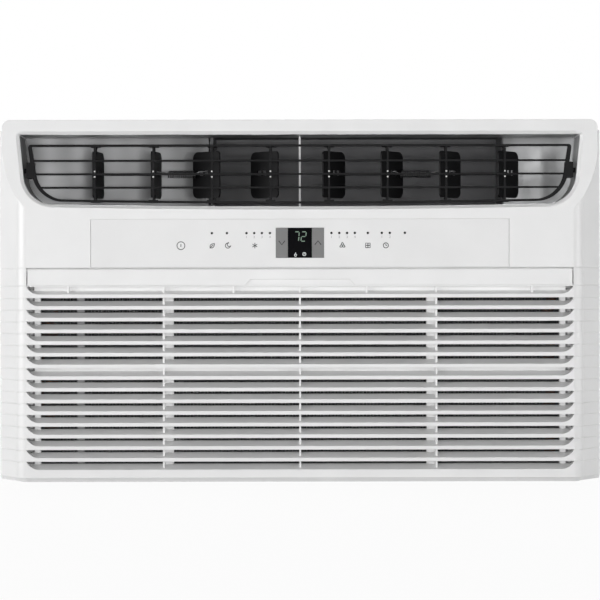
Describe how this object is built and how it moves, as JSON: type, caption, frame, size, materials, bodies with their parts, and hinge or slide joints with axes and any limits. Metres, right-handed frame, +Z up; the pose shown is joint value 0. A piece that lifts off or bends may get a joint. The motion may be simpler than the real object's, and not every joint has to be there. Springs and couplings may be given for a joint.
{
  "type": "window air conditioner",
  "caption": "Slide-in room air conditioner: white front panel with a tilting louvred outlet, control strip, slatted intake and filter door, over a full cooling chassis.",
  "frame": {"origin": "under the middle of the object, on the surface it stands on", "axes": "+X to the right seen from the front, +Y towards the rear, +Z up; the front faces -Y"},
  "size_m": [0.6244, 0.427, 0.371],
  "materials": {
    "white_panel": "satin moulded white",
    "white_film": "smooth printed film",
    "black_louvre": "satin moulded black",
    "black_spring": "black oxide wire",
    "grey_key": "satin grey",
    "display_black": "polished black window",
    "lamp_clear": "smoked light pipe",
    "board_green": "solder mask",
    "grey_duct": "silver grey moulding",
    "dark_duct": "moulded dark grey",
    "filter_grey": "moulded grey",
    "filter_net": "woven net",
    "case_paint": "grey powder coat",
    "galvanised": "galvanised sheet",
    "bright_steel": "zinc plated",
    "white_foam": "expanded foam",
    "fin_aluminium": "thin fin stock",
    "copper": "drawn tube",
    "black_paint": "black enamel",
    "motor_grey": "grey enamel",
    "fan_plastic": "moulded dark grey",
    "black_rubber": "matt rubber",
    "capacitor_can": "drawn can"
  },
  "bodies": {
    "chassis": {"front_panel": "white_panel", "control_insert": "white_panel", "control_film": "white_film", "display_window": "display_black", "indicator_lights": "lamp_clear", "control_board": "board_green", "air_duct": "grey_duct", "scroll_housing": "dark_duct", "filter_frame": "filter_grey", "filter_mesh": "filter_net", "outer_case": "case_paint", "rear_guard": "case_paint", "base_pan": "galvanised", "bulkhead": "galvanised", "fan_shroud": "galvanised", "motor_bracket": "galvanised", "control_box": "galvanised", "case_screws": "bright_steel", "drain_tray": "white_foam", "evaporator_fins": "fin_aluminium", "condenser_fins": "fin_aluminium", "evaporator_bends": "copper", "condenser_bends": "copper", "discharge_line": "copper", "suction_line": "copper", "liquid_line": "copper", "capillary": "copper", "compressor": "black_paint", "accumulator": "black_paint", "fan_motor": "motor_grey", "compressor_mounts": "black_rubber", "cord_gland": "black_rubber", "run_capacitor": "capacitor_can"},
    "filter_door": {"filter_door": "white_panel"},
    "louvre_frame": {"louvre_frame": "black_louvre", "vane_springs": "black_spring"},
    "fan_rotor": {"fan_shaft": "bright_steel", "blower_wheel": "fan_plastic", "condenser_fan": "fan_plastic"},
    "vane_1": {"vane_1": "black_louvre"},
    "vane_2": {"vane_2": "black_louvre"},
    "vane_3": {"vane_3": "black_louvre"},
    "vane_4": {"vane_4": "black_louvre"},
    "vane_5": {"vane_5": "black_louvre"},
    "vane_6": {"vane_6": "black_louvre"},
    "vane_7": {"vane_7": "black_louvre"},
    "vane_8": {"vane_8": "black_louvre"},
    "vane_link_1": {"vane_link_1": "black_louvre"},
    "vane_link_2": {"vane_link_2": "black_louvre"},
    "vane_link_3": {"vane_link_3": "black_louvre"},
    "vane_link_4": {"vane_link_4": "black_louvre"},
    "key_power": {"key_power": "grey_key"},
    "key_eco": {"key_eco": "grey_key"},
    "key_sleep": {"key_sleep": "grey_key"},
    "key_mode": {"key_mode": "grey_key"},
    "key_fan_speed": {"key_fan_speed": "grey_key"},
    "key_filter": {"key_filter": "grey_key"},
    "key_timer": {"key_timer": "grey_key"},
    "key_down": {"key_down": "grey_key"},
    "key_up": {"key_up": "grey_key"}
  },
  "joints": [
    {"name": "filter_door_hinge", "type": "hinge", "parent": "chassis", "child": "filter_door", "pos_m": [0, -0.2115, 0.217], "axis": [-1, 0, 0], "range_deg": [0, 80]},
    {"name": "louvre_tilt", "type": "hinge", "parent": "chassis", "child": "louvre_frame", "pos_m": [0, -0.1935, 0.32], "axis": [1, 0, 0], "range_deg": [-20, 20]},
    {"name": "vane_1_swing", "type": "hinge", "parent": "louvre_frame", "child": "vane_1", "pos_m": [-0.2107, -0.1915, 0.316], "axis": [0, 0, -1], "range_deg": [-66, 44]},
    {"name": "vane_2_swing", "type": "hinge", "parent": "louvre_frame", "child": "vane_2", "pos_m": [-0.1505, -0.1915, 0.316], "axis": [0, 0, -1], "range_deg": [-66, 44], "deforming": ["vane_springs"]},
    {"name": "vane_3_swing", "type": "hinge", "parent": "louvre_frame", "child": "vane_3", "pos_m": [-0.0903, -0.1915, 0.316], "axis": [0, 0, -1], "range_deg": [-6, 104]},
    {"name": "vane_4_swing", "type": "hinge", "parent": "louvre_frame", "child": "vane_4", "pos_m": [-0.0301, -0.1915, 0.316], "axis": [0, 0, -1], "range_deg": [-6, 104]},
    {"name": "vane_5_swing", "type": "hinge", "parent": "louvre_frame", "child": "vane_5", "pos_m": [0.0301, -0.1915, 0.316], "axis": [0, 0, -1], "range_deg": [-93, 17]},
    {"name": "vane_6_swing", "type": "hinge", "parent": "louvre_frame", "child": "vane_6", "pos_m": [0.0903, -0.1915, 0.316], "axis": [0, 0, -1], "range_deg": [-93, 17]},
    {"name": "vane_7_swing", "type": "hinge", "parent": "louvre_frame", "child": "vane_7", "pos_m": [0.1505, -0.1915, 0.316], "axis": [0, 0, -1], "range_deg": [-93, 17]},
    {"name": "vane_8_swing", "type": "hinge", "parent": "louvre_frame", "child": "vane_8", "pos_m": [0.2107, -0.1915, 0.316], "axis": [0, 0, -1], "range_deg": [-93, 17]},
    {"name": "vane_link_1_pivot", "type": "hinge", "parent": "vane_1", "child": "vane_link_1", "pos_m": [-0.20841, -0.17972, 0.3166], "axis": [0, 0, -1], "range_deg": [-44, 66]},
    {"name": "vane_link_2_pivot", "type": "hinge", "parent": "vane_3", "child": "vane_link_2", "pos_m": [-0.09936, -0.18363, 0.3166], "axis": [0, 0, -1], "range_deg": [-104, 6]},
    {"name": "vane_link_3_pivot", "type": "hinge", "parent": "vane_5", "child": "vane_link_3", "pos_m": [0.03749, -0.18204, 0.3166], "axis": [0, 0, -1], "range_deg": [-17, 93]},
    {"name": "vane_link_4_pivot", "type": "hinge", "parent": "vane_7", "child": "vane_link_4", "pos_m": [0.15789, -0.18204, 0.3166], "axis": [0, 0, -1], "range_deg": [-17, 93]},
    {"name": "key_power_press", "type": "slide", "parent": "chassis", "child": "key_power", "axis": [0, 1, 0], "range_m": [0, 0.0003], "stiffness_N_per_m": 400},
    {"name": "key_eco_press", "type": "slide", "parent": "chassis", "child": "key_eco", "axis": [0, 1, 0], "range_m": [0, 0.0003], "stiffness_N_per_m": 400},
    {"name": "key_sleep_press", "type": "slide", "parent": "chassis", "child": "key_sleep", "axis": [0, 1, 0], "range_m": [0, 0.0003], "stiffness_N_per_m": 400},
    {"name": "key_mode_press", "type": "slide", "parent": "chassis", "child": "key_mode", "axis": [0, 1, 0], "range_m": [0, 0.0003], "stiffness_N_per_m": 400},
    {"name": "key_fan_speed_press", "type": "slide", "parent": "chassis", "child": "key_fan_speed", "axis": [0, 1, 0], "range_m": [0, 0.0003], "stiffness_N_per_m": 400},
    {"name": "key_filter_press", "type": "slide", "parent": "chassis", "child": "key_filter", "axis": [0, 1, 0], "range_m": [0, 0.0003], "stiffness_N_per_m": 400},
    {"name": "key_timer_press", "type": "slide", "parent": "chassis", "child": "key_timer", "axis": [0, 1, 0], "range_m": [0, 0.0003], "stiffness_N_per_m": 400},
    {"name": "key_down_press", "type": "slide", "parent": "chassis", "child": "key_down", "axis": [0, 1, 0], "range_m": [0, 0.0003], "stiffness_N_per_m": 400},
    {"name": "key_up_press", "type": "slide", "parent": "chassis", "child": "key_up", "axis": [0, 1, 0], "range_m": [0, 0.0003], "stiffness_N_per_m": 400},
    {"name": "fan_spin", "type": "hinge", "parent": "chassis", "child": "fan_rotor", "pos_m": [0.066, 0, 0.16], "axis": [0, 1, 0], "continuous": true}
  ],
  "couplings": [
    {"joint": "vane_2_swing", "follows": "vane_1_swing", "ratio": 1},
    {"joint": "vane_4_swing", "follows": "vane_3_swing", "ratio": 1},
    {"joint": "vane_6_swing", "follows": "vane_5_swing", "ratio": 1},
    {"joint": "vane_8_swing", "follows": "vane_7_swing", "ratio": 1},
    {"joint": "vane_link_1_pivot", "follows": "vane_1_swing", "ratio": -1},
    {"joint": "vane_link_2_pivot", "follows": "vane_3_swing", "ratio": -1},
    {"joint": "vane_link_3_pivot", "follows": "vane_5_swing", "ratio": -1},
    {"joint": "vane_link_4_pivot", "follows": "vane_7_swing", "ratio": -1}
  ]
}
